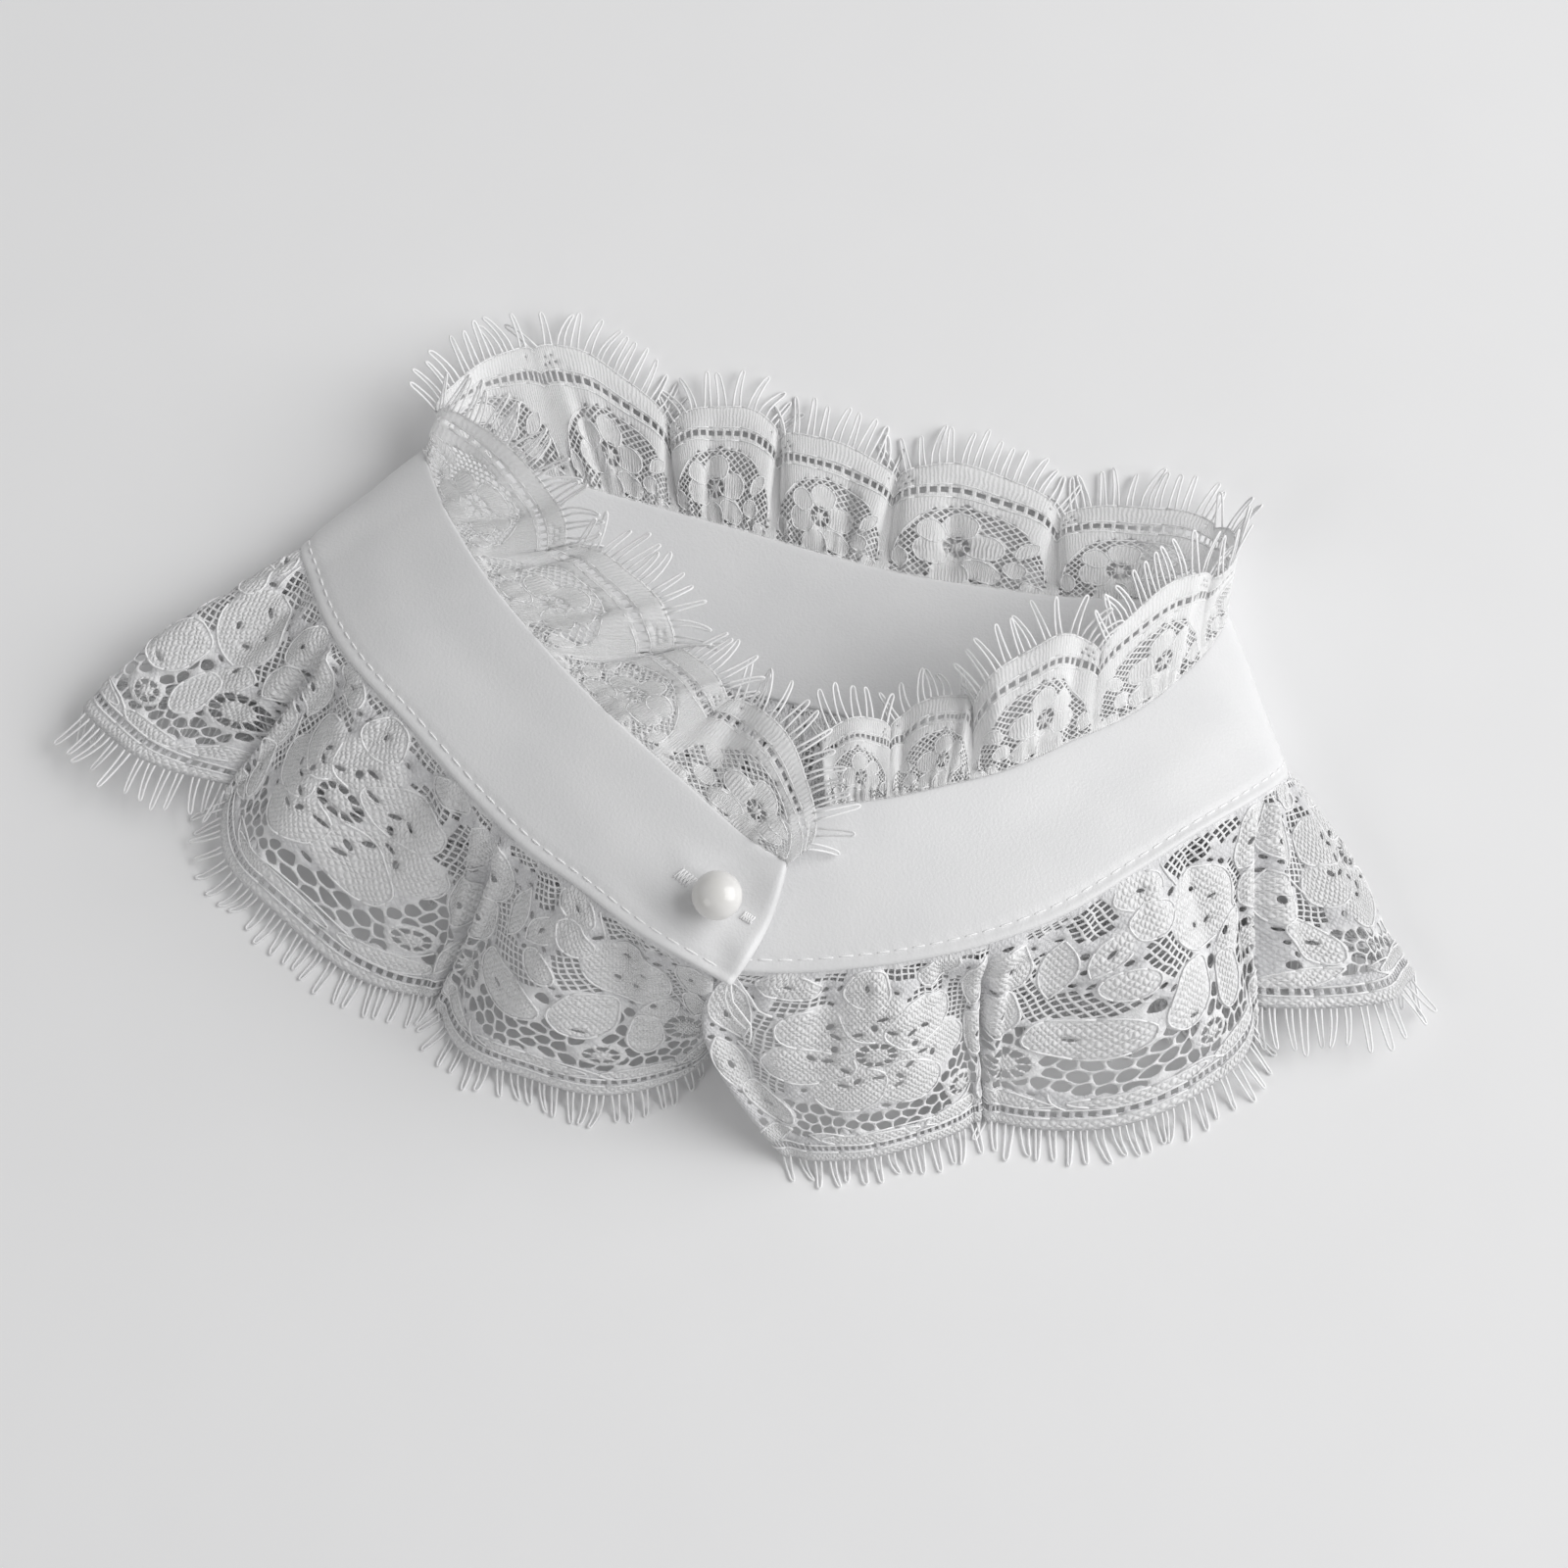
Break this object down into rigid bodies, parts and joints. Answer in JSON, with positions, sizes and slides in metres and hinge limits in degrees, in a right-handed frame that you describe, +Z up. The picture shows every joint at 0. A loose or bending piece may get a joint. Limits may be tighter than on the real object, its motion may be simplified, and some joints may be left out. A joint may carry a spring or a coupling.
{
  "type": "lace collar",
  "caption": "Detachable white collar: a satin band buttoned into a ring with a pearl, a narrow lace ruffle at its neck edge and a wide lace flounce below, both with eyelash fringe.",
  "frame": {"origin": "the surface that the collar lies on, below the centre of its box", "axes": "+X to the right of the collar seen from above, +Y towards the back of the neck, +Z up"},
  "size_m": [0.3062, 0.1855, 0.0533],
  "materials": {
    "satin": "smooth white satin with a low sheen",
    "lace": "matt white cotton lace",
    "pearl": "pearl gloss"
  },
  "bodies": {
    "root": {"satin_band": "satin", "upper_ruffle": "lace", "lower_flounce_right": "lace", "lower_flounce_left": "lace", "upper_fringe": "lace", "lower_fringe": "lace", "pearl_button": "pearl"}
  },
  "joints": []
}
